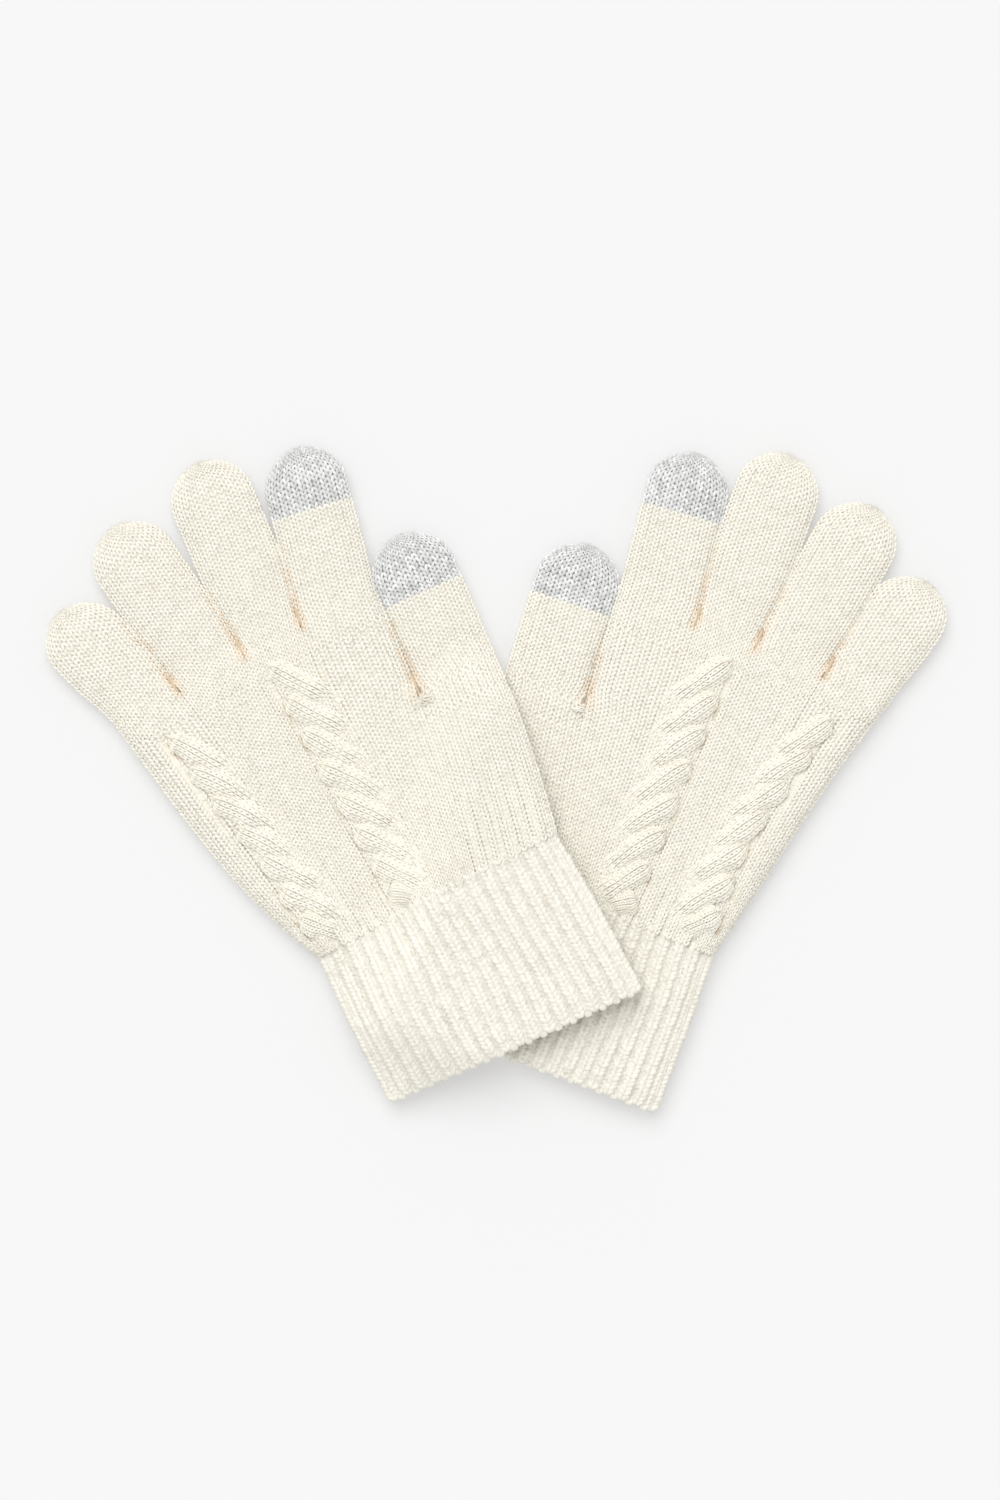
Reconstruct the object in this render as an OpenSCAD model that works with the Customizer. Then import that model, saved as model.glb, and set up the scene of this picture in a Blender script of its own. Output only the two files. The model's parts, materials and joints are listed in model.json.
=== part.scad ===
// A pair of knitted gloves laid flat, backs up, one cuff over the other.
// Every glove is drawn in its own plane: u runs to the thumb side, v to the fingertips,
// with the middle of the cuff mouth at u = 0, v = 0. The functions at the end of the
// Hidden section turn that plane to its place on the table and lay one cuff on the other.

/* [Cuff] */
// Width of the flat ribbed cuff
cuff_w = 90; // [76:1:100]
// Length of the cuff, cast-on hem included
cuff_l = 57; // [40:1:70]
// Length of the cast-on hem at the cuff's mouth
hem_l = 5; // [3:0.5:8]
// Number of elastic threads laid round the inside of the cuff
elastic_count = 3; // [1:1:5]
// Width of one elastic thread
elastic_w = 1.6; // [1:0.1:2.5]
// Thickness of one elastic thread
elastic_t = 0.5; // [0.3:0.1:0.7]

/* [Hand] */
// Length from the cuff's top edge to the finger forks
hand_l = 100; // [85:1:120]
// Length from the cuff's top edge to the thumb fork
thumb_fork = 62; // [50:1:75]
// Thickness of the hand and the cuff, two layers and the room between them
hand_t = 9.6; // [9:0.1:12]
// Thickness of one layer of knitting
wall = 2.2; // [1.6:0.1:2.6]
// How far the flat tube rounds over at its sides
edge_round = 5; // [3:0.5:7]
// Gap left at every seam between parts that fold
fold_gap = 0.4; // [0.3:0.1:1]

/* [Fingers] */
// Lengths from the fork to the tip: little, ring, middle, index, thumb
finger_l = [43, 60, 66, 55, 51]; // [35:1:80]
// Widest widths: little, ring, middle, index, thumb
finger_w = [26, 26.5, 26.5, 26, 27]; // [20:0.5:30]
// Widths at the fork: little, ring, middle, index, thumb
fork_w = [23.5, 24, 20.5, 27, 27]; // [18:0.5:30]
// Thickness of a flat finger
finger_t = 8; // [7:0.1:10]
// Part of each finger below its middle fold
fold_share = 0.46; // [0.4:0.01:0.55]
// Length of the grey touch tips
touch_l = 20; // [14:0.5:24]
// Slope of the left glove's fingers towards the thumb, in degrees
left_lean = [-15, -7, 4.5, 13, 4]; // [-20:0.5:20]
// Slope of the right glove's fingers towards the thumb, in degrees
right_lean = [-12.5, -7.5, 1.5, 7, 3.5]; // [-20:0.5:20]

/* [Cables] */
// Height of a cable's strands over the back of the hand
cable_h = 2.6; // [1.5:0.1:4]
// Height of the hollows between the strands
cable_low = 0.9; // [0.5:0.1:1.5]

/* [Layout] */
// Turn of the left glove, in degrees
left_turn = 27.7; // [20:0.1:35]
// Turn of the right glove, in degrees
right_turn = 21.5; // [15:0.1:30]
// The gloves' thumb sides cross this far below the left thumb's fork
left_cross = 8.65; // [6:0.05:12]
// and this far below the right thumb's fork
right_cross = 1.65; // [0:0.05:4]
// Air between the two gloves where one lies on the other
lay_gap = 0.9; // [0.6:0.1:1.2]
// Distance over which the upper glove comes down to the table
drape_run = 26; // [20:1:34]

/* [Hidden] */
LEFT = 0;
RIGHT = 1;
LITTLE = 0;
RING = 1;
MIDDLE = 2;
INDEX = 3;
THUMB = 4;
CREAM = [0.93, 0.92, 0.86];
GREY = [0.75, 0.75, 0.75];
FINGER_NAMES = ["little", "ring", "middle", "index", "thumb"];
FINGER_PARTS = [for (f = FINGER_NAMES) each [str(f, "_base"), str(f, "_end")]];
HAND_PARTS = ["hand_back", "hand_palm", "cuff", "cuff_hem", "cuff_elastic", "inner_cable",
    "outer_cable", "index_touch_tip", "thumb_touch_tip"];

// Heights up the glove
fork_v = cuff_l + hand_l;
crotch_v = cuff_l + thumb_fork;
// Rows of the hand's mesh below and above the thumb fork
low_rows = 10;
high_rows = 6;
rows = low_rows + high_rows;
// Lines that divide the hand between its fingers: at the cuff, as shares of its width
seam_share = [-0.5, -0.4, -0.165, 0, 0.165, 0.5];
// and their slopes there
seam_slope = [-0.38, -0.06, -0.05, 0.02, 0.24, 0.22];
// Where the forks stand at the top of the hand, from the ring and middle fork outwards
fork_u0 = -20;
side_gap = 0.7;
fork_u = [
    fork_u0 - fork_w[RING] - fork_w[LITTLE] - 2 * side_gap,
    fork_u0 - fork_w[RING] - side_gap,
    fork_u0,
    fork_u0 + fork_w[MIDDLE] + side_gap,
    fork_u0 + fork_w[MIDDLE] + fork_w[INDEX] + 2 * side_gap];
thumb_gap = 2;
// Slopes of the index finger's thumb side at the forks and of the thumb's outer side
index_side_slope = 0.08;
thumb_side_slope = 0.06;

function lean(side, f) = side == LEFT ? left_lean[f] : right_lean[f];
function mix(a, b, t) = a + (b - a) * t;
function clamp01(x) = max(0, min(1, x));
function smooth(x) = let (t = clamp01(x)) t * t * (3 - 2 * t);

// A curve u(v) that leaves a with slope sa and reaches b, len further on, with slope sb
function swing(a, sa, b, sb, len, t) =
    (2 * t * t * t - 3 * t * t + 1) * a + (3 * t * t - 2 * t * t * t) * b
    + len * ((t * t * t - 2 * t * t + t) * sa + (t * t * t - t * t) * sb);

// Line k that divides the hand, at height v
function seam_top_slope(side, k) = k == THUMB ? index_side_slope
    : (tan(lean(side, max(0, k - 1))) + tan(lean(side, min(INDEX, k)))) / 2;
function seam_u(side, k, v) = k <= THUMB
    ? swing(seam_share[k] * cuff_w, seam_slope[k], fork_u[k], seam_top_slope(side, k), hand_l,
        (v - cuff_l) / hand_l)
    : swing(seam_share[k] * cuff_w, seam_slope[k], thumb_out(side), thumb_side_slope, thumb_fork,
        clamp01((v - cuff_l) / thumb_fork));
function thumb_in(side) = seam_u(side, THUMB, crotch_v) + thumb_gap;
function thumb_out(side) = thumb_in(side) + fork_w[THUMB];

// The rounded profile of a flat tube: share of the half thickness at distance d from its side
side_share = 0.32;
function side_round(d, r) = let (x = 1 - clamp01(d / r)) side_share + (1 - side_share) * sqrt(1 - x * x);

// ---- Placing ----
function across(side) = side == LEFT
    ? [cos(left_turn), sin(left_turn)] : [-cos(right_turn), sin(right_turn)];
function along(side) = side == LEFT
    ? [-sin(left_turn), cos(left_turn)] : [sin(right_turn), cos(right_turn)];
function turned(side, p) = p[0] * across(side) + p[1] * along(side);
// A point on a glove's thumb side, this far below its thumb's fork
function side_point(side, below) = [seam_u(side, 5, crotch_v - below), crotch_v - below];
// The upper glove's mouth stands where the two thumb sides cross as set
left_mouth = turned(RIGHT, side_point(RIGHT, right_cross)) - turned(LEFT, side_point(LEFT, left_cross));
function mouth(side) = side == LEFT ? left_mouth : [0, 0];
function plan(side, p) = mouth(side) + turned(side, p);

// The thumb edge of the right glove, which the left glove lies over
function under_edge(v) = v < cuff_l ? cuff_w / 2 : seam_u(RIGHT, 5, v);
fade_run = 18;
fade_top = crotch_v + 8;
function lift(side, p) = side == RIGHT ? 0 : let (
    u = p * across(RIGHT),
    v = p * along(RIGHT),
    out = norm([max(0, u - under_edge(v)), max(0, -v)]))
    (hand_t + lay_gap) * smooth(1 - out / drape_run) * smooth((fade_top - v) / fade_run);

// A point [u, v, z] of a glove, in its place; draped points ride over the glove below
function placed(side, p, draped = true) = let (q = plan(side, [p[0], p[1]]))
    [q[0] - centre[0], q[1] - centre[1], p[2] + (draped ? lift(side, q) : 0)];
function reversed(f) = [for (i = [len(f) - 1:-1:0]) f[i]];
// Faces as triangles, turned over for the left glove, whose plane isn't mirrored
function triangles(faces) = [for (f = faces) for (i = [1:len(f) - 2]) [f[0], f[i], f[i + 1]]];
function facing(side, faces) = side == RIGHT ? triangles(faces)
    : [for (t = triangles(faces)) reversed(t)];

// ---- Fingers ----
function finger_v0(f) = (f == THUMB ? crotch_v : fork_v);
function finger_v1(f) = finger_v0(f) + finger_l[f];
function finger_fold(f) = finger_v0(f) + fold_share * finger_l[f];
function finger_u0(side, f) = f == THUMB
    ? (thumb_in(side) + thumb_out(side)) / 2 : (fork_u[f] + fork_u[f + 1]) / 2;
function finger_u(side, f, v) = finger_u0(side, f) + (v - finger_v0(f)) * tan(lean(side, f));
// Half width: widens from the fork, then rounds over at the tip
widen_run = 30;
function finger_half(f, v) = let (
    full = mix(fork_w[f], finger_w[f], smooth((v - finger_v0(f)) / widen_run)) / 2,
    r = finger_w[f] / 2,
    x = clamp01((v - (finger_v1(f) - r)) / r))
    full * sqrt(max(0, 1 - x * x));
// Share of a finger's thickness that is left at height v: it thins over its last stretch
tip_run = 0.8 * finger_t;
tip_thin = 0.4;
function tip_share(f, v) = let (x = clamp01((v - (finger_v1(f) - tip_run)) / tip_run))
    tip_thin + (1 - tip_thin) * sqrt(max(0, 1 - x * x));
tip_stops = [1, 0.7, 0.42, 0.2, 0.07, 0.01];
function finger_stops(f) = [for (s = tip_stops) finger_v1(f) - s * finger_w[f] / 2];
function touch_v(f) = finger_v1(f) - touch_l;

// The middle of the pair on the table, from the outlines of the fingers and the cuffs
outline = concat(
    [for (s = [LEFT, RIGHT]) for (f = [LITTLE:THUMB]) for (v = finger_stops(f)) for (e = [-1, 1])
        plan(s, [finger_u(s, f, v) + e * finger_half(f, v), v])],
    [for (s = [LEFT, RIGHT]) for (e = [-1, 1]) plan(s, [e * cuff_w / 2, 0])]);
outline_x = [for (p = outline) p[0]];
outline_y = [for (p = outline) p[1]];
centre = [(min(outline_x) + max(outline_x)) / 2, (min(outline_y) + max(outline_y)) / 2];

// ---- Rings of a flat tube ----
// Places across a flat tube, from its side inwards, in shares of the rounded side
side_steps = [0, 0.18, 0.5, 1];
function half_across(h, r) = let (q = min(r, 0.8 * h)) concat(
    [for (s = side_steps) -h + s * q], [-(h - q) / 3, (h - q) / 3],
    [for (s = reversed(side_steps)) h - s * q]);
// One ring at height v: over the top from little-finger side to thumb side, back underneath
function ring(side, u, v, h, mid_z, half_t, r) = let (x = half_across(h, r), q = min(r, 0.8 * h))
    concat(
        [for (a = x) placed(side, [u + a, v, mid_z + half_t * side_round(h - abs(a), q)], false)],
        [for (a = reversed(x))
            placed(side, [u + a, v, mid_z - half_t * side_round(h - abs(a), q)], false)]);

// A tube skinned over rings: outer rings going up, inner rings going up, all with n points
module skinned_tube(side, outer, inner, closed) {
    n = len(outer[0]);
    m = len(outer);
    k = len(inner);
    first_in = m * n;
    last_in = first_in + (k - 1) * n;
    walls = concat(
        [for (i = [0:m - 2]) for (j = [0:n - 1]) let (b = (j + 1) % n)
            [i * n + j, i * n + b, (i + 1) * n + b, (i + 1) * n + j]],
        [for (i = [0:k - 2]) for (j = [0:n - 1]) let (b = (j + 1) % n, o = first_in + i * n)
            [o + b, o + j, o + n + j, o + n + b]]);
    mouth_rim = [for (j = [0:n - 1]) let (b = (j + 1) % n) [j, first_in + j, first_in + b, b]];
    far = (m - 1) * n;
    far_rim = [for (j = [0:n - 1]) let (b = (j + 1) % n)
        [far + j, far + b, last_in + b, last_in + j]];
    caps = [[for (j = [0:n - 1]) far + j], [for (j = [n - 1:-1:0]) last_in + j]];
    faces = concat(walls, mouth_rim, closed ? caps : far_rim);
    polyhedron(concat([for (r = outer) each r], [for (r = inner) each r]), facing(side, faces));
}

// A stretch of finger between two heights, closed over at the tip where tip is true
module finger_tube(side, f, v_from, v_to, tip) {
    mid = finger_t / 2;
    curve = [for (v = finger_stops(f)) if (v > v_from + 2) v];
    plain = [v_from, mix(v_from, v_to, 1 / 2), v_to];
    outer_v = tip ? concat([v_from], curve) : plain;
    roof = v_to - wall;
    inner_v = tip ? concat([v_from], [for (v = curve) if (v < roof - wall) v], [roof]) : plain;
    outer = [for (v = outer_v) ring(side, finger_u(side, f, v), v, finger_half(f, v), mid,
        mid * tip_share(f, v), edge_round)];
    inner = [for (v = inner_v) ring(side, finger_u(side, f, v), v, finger_half(f, v) - wall, mid,
        (mid - wall) * tip_share(f, v), edge_round - wall / 2)];
    skinned_tube(side, outer, inner, tip);
}

// ---- The hand: a sheet of columns and rows, one layer of knitting thick ----
// Columns as [seam, share of the way to the next seam]
columns = [[0, 0], [0, 0.06], [0, 0.13], [0, 0.24], [0, 0.66], [1, 0], [1, 0.4], [2, 0], [2, 0.5],
    [3, 0], [3, 0.5], [3, 0.8], [3, 0.89], [3, 0.95], [4, 0], [4, 0.3], [4, 0.6], [4, 0.82], [4, 0.91],
    [4, 0.96], [5, 0]];
last_col = len(columns) - 1;
thumb_col = 14;
function row_v(i) = i <= low_rows ? cuff_l + thumb_fork * i / low_rows
    : crotch_v + (hand_l - thumb_fork) * (i - low_rows) / high_rows;
function right_col(i) = i <= low_rows ? last_col : thumb_col;
function col_u(side, j, v) = let (c = columns[j]) c[1] == 0 ? seam_u(side, c[0], v)
    : mix(seam_u(side, c[0], v), seam_u(side, c[0] + 1, v), c[1]);
function edge_distance(side, i, j) = let (v = row_v(i)) min(
    col_u(side, j, v) - col_u(side, 0, v), col_u(side, right_col(i), v) - col_u(side, j, v));
function outer_z(d) = hand_t / 2 * side_round(d, edge_round);
function inner_z(d) = (hand_t / 2 - wall) * smooth((d - wall) / (edge_round - wall / 2));
function sheet_point(side, i, j, z, up) = let (v = row_v(i) + (i == rows ? -fold_gap / 2 : 0))
    placed(side, [col_u(side, j, v), v, hand_t / 2 + up * z]);
function in_sheet(i, j) = i >= 0 && i < rows && j >= 0 && j < (i < low_rows ? last_col : thumb_col);

// up is 1 for the back of the hand and -1 for the palm
module hand_sheet(side, up) {
    w = last_col + 1;
    reach = [for (i = [0:rows]) for (j = [0:last_col]) max(0, edge_distance(side, i, j))];
    outer = [for (i = [0:rows]) for (j = [0:last_col])
        sheet_point(side, i, j, outer_z(reach[i * w + j]), up)];
    inner = [for (i = [0:rows]) for (j = [0:last_col])
        sheet_point(side, i, j, inner_z(reach[i * w + j]), up)];
    o = len(outer);
    cells = [for (i = [0:rows - 1]) for (j = [0:last_col - 1]) if (in_sheet(i, j)) [i, j]];
    skins = [for (c = cells) let (a = c[0] * w + c[1]) each [
        [a, a + w, a + w + 1, a + 1], [o + a, o + a + 1, o + a + w + 1, o + a + w]]];
    sides = [for (c = cells) let (i = c[0], j = c[1], a = i * w + j) each concat(
        in_sheet(i - 1, j) ? [] : [[a, a + 1, o + a + 1, o + a]],
        in_sheet(i + 1, j) ? [] : [[a + w + 1, a + w, o + a + w, o + a + w + 1]],
        in_sheet(i, j - 1) ? [] : [[a + w, a, o + a, o + a + w]],
        in_sheet(i, j + 1) ? [] : [[a + 1, a + w + 1, o + a + w + 1, o + a + 1]])];
    faces = concat(skins, sides);
    polyhedron(concat(outer, inner), facing(up > 0 ? side : 1 - side, faces));
}

// A cable: strands and hollows in turn, standing on columns from_col to to_col of the back
module cable(side, from_col, to_col, from_row, to_row) {
    w = to_col - from_col + 1;
    grid = [for (i = [from_row:to_row]) for (j = [from_col:to_col]) [i, j]];
    bottom = [for (g = grid) sheet_point(side, g[0], g[1],
        outer_z(max(0, edge_distance(side, g[0], g[1]))), 1)];
    top = [for (g = grid) let (on_rim = g[1] == from_col || g[1] == to_col,
        h = (g[0] + g[1]) % 2 == 0 ? cable_h : cable_low)
        sheet_point(side, g[0], g[1],
            outer_z(max(0, edge_distance(side, g[0], g[1]))) + (on_rim ? h / 2 : h), 1)];
    n = len(bottom);
    m = to_row - from_row;
    skins = [for (i = [0:m - 1]) for (j = [0:w - 2]) let (a = i * w + j) each [
        [n + a, n + a + w, n + a + w + 1, n + a + 1], [a, a + 1, a + w + 1, a + w]]];
    sides = concat(
        [for (i = [0:m - 1]) let (a = i * w, b = i * w + w - 1) each [
            [a, a + w, n + a + w, n + a], [b + w, b, n + b, n + b + w]]],
        [for (j = [0:w - 2]) let (a = j, b = m * w + j) each [
            [a + 1, a, n + a, n + a + 1], [b, b + 1, n + b + 1, n + b]]]);
    polyhedron(concat(bottom, top), facing(side, concat(skins, sides)));
}

// ---- The cuff ----
cuff_steps = 4;
function cuff_ring(side, v, inset) = let (
    h = cuff_w / 2 - inset,
    r = edge_round - inset / 2,
    half = hand_t / 2 - inset,
    x = concat([for (s = side_steps) -h + s * r], [for (k = [1:5]) mix(-h + r, h - r, k / 6)],
        [for (s = reversed(side_steps)) h - s * r]))
    concat(
        [for (a = x) placed(side, [a, v, hand_t / 2 + half * side_round(h - abs(a), r)])],
        [for (a = reversed(x)) placed(side, [a, v, hand_t / 2 - half * side_round(h - abs(a), r)])]);
module cuff_tube(side, v_from, v_to, steps, out_inset, in_inset) {
    stops = [for (i = [0:steps]) mix(v_from, v_to, i / steps)];
    outer = [for (v = stops) cuff_ring(side, v, out_inset)];
    inner = [for (v = stops) cuff_ring(side, v, in_inset)];
    skinned_tube(side, outer, inner, false);
}

module hand_back(side) {
    color(CREAM) hand_sheet(side, 1);
}

module hand_palm(side) {
    color(CREAM) hand_sheet(side, -1);
}

module cuff(side) {
    color(CREAM) cuff_tube(side, hem_l, cuff_l, cuff_steps, 0, wall);
}

module cuff_hem(side) {
    color(CREAM) cuff_tube(side, 0, hem_l, 1, 0, wall);
}

// Elastic threads that hug the inside of the cuff
elastic_gap = 0.3;
module cuff_elastic(side) {
    pitch = (cuff_l - hem_l) / (elastic_count + 1);
    color("white") for (i = [1:elastic_count]) {
        v = hem_l + i * pitch;
        cuff_tube(side, v - elastic_w / 2, v + elastic_w / 2, 1, wall + elastic_gap,
            wall + elastic_gap + elastic_t);
    }
}

// Rows of the hand between which the cables run
cable_from = 2;
cable_to = 14;
module inner_cable(side) {
    color(CREAM) cable(side, 7, 9, cable_from, cable_to);
}

module outer_cable(side) {
    color(CREAM) cable(side, 4, 6, cable_from, cable_to);
}

module finger_base(side, f) {
    color(CREAM) finger_tube(side, f, finger_v0(f) + fold_gap / 2, finger_fold(f) - fold_gap / 2, false);
}

module finger_end(side, f) {
    touch = f == INDEX || f == THUMB;
    color(CREAM) finger_tube(side, f, finger_fold(f) + fold_gap / 2, touch ? touch_v(f) : finger_v1(f),
        !touch);
}

module touch_tip(side, f) {
    color(GREY) finger_tube(side, f, touch_v(f), finger_v1(f), true);
}

hand_back(LEFT);  // left_hand_back
hand_palm(LEFT);  // left_hand_palm
cuff(LEFT);  // left_cuff
cuff_hem(LEFT);  // left_cuff_hem
cuff_elastic(LEFT);  // left_cuff_elastic
inner_cable(LEFT);  // left_inner_cable
outer_cable(LEFT);  // left_outer_cable
finger_base(LEFT, LITTLE);  // left_little_base
finger_end(LEFT, LITTLE);  // left_little_end
finger_base(LEFT, RING);  // left_ring_base
finger_end(LEFT, RING);  // left_ring_end
finger_base(LEFT, MIDDLE);  // left_middle_base
finger_end(LEFT, MIDDLE);  // left_middle_end
finger_base(LEFT, INDEX);  // left_index_base
finger_end(LEFT, INDEX);  // left_index_end
finger_base(LEFT, THUMB);  // left_thumb_base
finger_end(LEFT, THUMB);  // left_thumb_end
touch_tip(LEFT, INDEX);  // left_index_touch_tip
touch_tip(LEFT, THUMB);  // left_thumb_touch_tip
hand_back(RIGHT);  // right_hand_back
hand_palm(RIGHT);  // right_hand_palm
cuff(RIGHT);  // right_cuff
cuff_hem(RIGHT);  // right_cuff_hem
cuff_elastic(RIGHT);  // right_cuff_elastic
inner_cable(RIGHT);  // right_inner_cable
outer_cable(RIGHT);  // right_outer_cable
finger_base(RIGHT, LITTLE);  // right_little_base
finger_end(RIGHT, LITTLE);  // right_little_end
finger_base(RIGHT, RING);  // right_ring_base
finger_end(RIGHT, RING);  // right_ring_end
finger_base(RIGHT, MIDDLE);  // right_middle_base
finger_end(RIGHT, MIDDLE);  // right_middle_end
finger_base(RIGHT, INDEX);  // right_index_base
finger_end(RIGHT, INDEX);  // right_index_end
finger_base(RIGHT, THUMB);  // right_thumb_base
finger_end(RIGHT, THUMB);  // right_thumb_end
touch_tip(RIGHT, INDEX);  // right_index_touch_tip
touch_tip(RIGHT, THUMB);  // right_thumb_touch_tip
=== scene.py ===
# %% [markdown]
# # A pair of cable-knit gloves, stitch by stitch
# The gloves lie flat, backs up, one cuff over the other. Every stitch is a small V of two yarn
# legs, set on a smooth surface that follows the glove: wales (the columns of stitches) run from
# the fingertips down the hand and gather at the cuff, and courses (the rows) run across.
# All lengths are in millimetres until a mesh is made.

import json
import math

import bmesh
import bpy
import numpy as np
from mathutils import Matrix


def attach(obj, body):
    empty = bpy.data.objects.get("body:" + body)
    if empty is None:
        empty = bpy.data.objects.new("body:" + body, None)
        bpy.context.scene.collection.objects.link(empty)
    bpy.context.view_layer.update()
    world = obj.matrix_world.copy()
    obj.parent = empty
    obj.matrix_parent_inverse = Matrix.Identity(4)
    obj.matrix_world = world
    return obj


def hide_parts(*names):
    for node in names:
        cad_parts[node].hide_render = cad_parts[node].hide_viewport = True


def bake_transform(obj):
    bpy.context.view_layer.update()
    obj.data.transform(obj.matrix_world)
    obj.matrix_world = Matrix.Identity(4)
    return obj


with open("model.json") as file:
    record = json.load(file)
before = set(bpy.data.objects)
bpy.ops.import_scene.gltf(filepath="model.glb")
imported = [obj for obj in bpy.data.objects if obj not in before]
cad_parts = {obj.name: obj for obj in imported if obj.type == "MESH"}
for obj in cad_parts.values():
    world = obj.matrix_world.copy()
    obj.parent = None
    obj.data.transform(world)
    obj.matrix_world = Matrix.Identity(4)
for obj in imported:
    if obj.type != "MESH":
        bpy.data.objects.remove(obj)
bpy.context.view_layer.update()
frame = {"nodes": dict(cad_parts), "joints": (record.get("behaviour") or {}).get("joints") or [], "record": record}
MM = 0.001
MOUNTS = {m["name"]: m for m in frame["record"]["mounts"]}
JOINTS = {j["name"]: j for j in frame["joints"]}

# %% [markdown]
# ## The plane of a glove
# A glove is drawn in its own plane: u runs to the thumb side and v to the fingertips, from the
# middle of the cuff's mouth. The mouths and the finger hinges of the part say where that plane
# lies, which fingers lean and where the folds are.

# %% Read the planes, the fingers and the folds
SIDES = ("left", "right")
FINGERS = ("little", "ring", "middle", "index", "thumb")
THUMB = 4


def local(side, point):
    """A point of the part, in metres, as (u, v) in the glove's plane, in millimetres."""
    p = np.array(point[:2]) / MM - ORIGIN[side]
    return float(p @ U[side]), float(p @ V[side])


ORIGIN, U, V = {}, {}, {}
for side in SIDES:
    mount = MOUNTS[side + "_cuff_mouth"]
    ORIGIN[side] = np.array(mount["pos_m"][:2]) / MM
    V[side] = -np.array(mount["axis"][:2])
    turned = np.array([V[side][1], -V[side][0]])
    U[side] = turned if side == "left" else -turned

ROOT, FOLD, LEAN = {}, {}, {}
for side in SIDES:
    for f, finger in enumerate(FINGERS):
        ROOT[side, f] = local(side, JOINTS[f"{side}_{finger}_fold"]["pos_m"])
        FOLD[side, f] = local(side, JOINTS[f"{side}_{finger}_tip_fold"]["pos_m"])
        du, dv = np.subtract(FOLD[side, f], ROOT[side, f])
        LEAN[side, f] = du / dv
FORK_V = ROOT["left", 0][1]
CROTCH_V = ROOT["left", THUMB][1]
print("forks at v", round(FORK_V, 1), "thumb fork at v", round(CROTCH_V, 1))

# %% [markdown]
# ## Sizes
# Flat sizes of a glove that was knitted on a machine: the cuff's tube, the hand, and five
# fingers that are narrow at the fork and fill out above it. Tuples go from the little finger
# to the thumb.

# %% Sizes of the glove
CUFF_W, CUFF_L = 90.0, 57.0
HAND_T, FINGER_T = 9.6, 8.0
FORK_W = (23.5, 24.0, 20.5, 27.0, 27.0)
FULL_W = (26.6, 27.4, 27.6, 26.8, 28.0)
FINGER_L = (43.0, 60.0, 66.0, 55.0, 51.0)
FORK_GAP = 0.7
TOUCH_L = 20.0
# The upper glove rests on the lower one, comes down beyond its edge and down to its own fingers
LAY_GAP, DRAPE_RUN, FADE_RUN = 0.9, 26.0, 18.0
FADE_TOP = CROTCH_V + 8
print("cuff", CUFF_W, "by", CUFF_L, "mm, hand", HAND_T, "mm thick")

# %% Sizes of the knitting
# Height of a course, and the number of wales on one face of the hand and of the fingers
COURSE = 1.5
HAND_WALES = (8, 10, 9, 10, 13)
FINGER_WALES = (11, 12, 12, 12, 12)
# Depth of the sheet under the outer surface, and how far fingers and hand run into each other
LEG_SINK = 0.5
OVERLAP = 8.0
print("wales across the back", sum(HAND_WALES), "courses up the cuff", round(CUFF_L / COURSE))

# %% [markdown]
# ## Lines that shape the hand
# A finger's wales start at the cuff. The curves between two fingers leave the cuff at a chosen
# slope and reach the fork along the fingers' own lean, so a strip of wales is never kinked.
# There are six lines: 0 is the little finger's outer side, 4 the index finger's thumb side and 5
# the thumb's outer side.

# %% Slopes of the lines
# Where each line leaves the cuff, as a share of its width, and its slope there
SEAM_SHARE = (-0.5, -0.4, -0.165, 0.0, 0.165, 0.5)
SEAM_SLOPE = (-0.38, -0.06, -0.05, 0.02, 0.24, 0.22)
# Slopes at the top of lines 4 and 5, and the outward bow of line 0 in each glove
INDEX_SIDE_SLOPE = 0.08
THUMB_SLOPE = 0.06
SIDE_OUT = {"left": 2.4, "right": -3.2}
print("lines", len(SEAM_SHARE))


# %% Curves
def smooth(x):
    """A soft step from 0 at x 0 to 1 at x 1."""
    t = np.clip(x, 0, 1)
    return t * t * (3 - 2 * t)


def swing(a, sa, b, sb, run, t):
    """A cubic from a with slope sa to b with slope sb, run further on."""
    rise = (2 * t**3 - 3 * t**2 + 1) * a + (3 * t**2 - 2 * t**3) * b
    return rise + run * ((t**3 - 2 * t**2 + t) * sa + (t**3 - t**2) * sb)


def fork_u(side, k):
    """Where line k stands at the forks: halfway between two fingers, or at the outer side."""
    f = min(k, 3)
    out = (FORK_W[f] + FORK_GAP) / 2
    return ROOT[side, f][0] + (out if k == 4 else -out)


def seam(side, k, v):
    """Line k that divides the hand, at heights v."""
    v = np.asarray(v, float)
    start, slope = SEAM_SHARE[k] * CUFF_W, SEAM_SLOPE[k]
    if k == 5:
        run = CROTCH_V - CUFF_L
        t = np.clip((v - CUFF_L) / run, 0, 1)
        return swing(start, slope, ROOT[side, THUMB][0] + FORK_W[THUMB] / 2, THUMB_SLOPE, run, t)
    run = FORK_V - CUFF_L
    top = INDEX_SIDE_SLOPE if k == 4 else (LEAN[side, max(0, k - 1)] + LEAN[side, k]) / 2
    t = np.clip((v - CUFF_L) / run, 0, 1)
    bow = SIDE_OUT[side] * np.sin(math.pi * t) ** 0.8 if k == 0 else 0
    return swing(start, slope, fork_u(side, k), top, run, t) - bow


print("hand is", round(float(seam("left", 5, 110) - seam("left", 0, 110)), 1), "mm wide at v 110")

# %% [markdown]
# ## On the table
# The upper glove is cloth: it lies over the lower glove and comes down to the table on every
# side. Every point of it is raised by the same smooth function of its place, so pieces that
# meet stay together.


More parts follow.
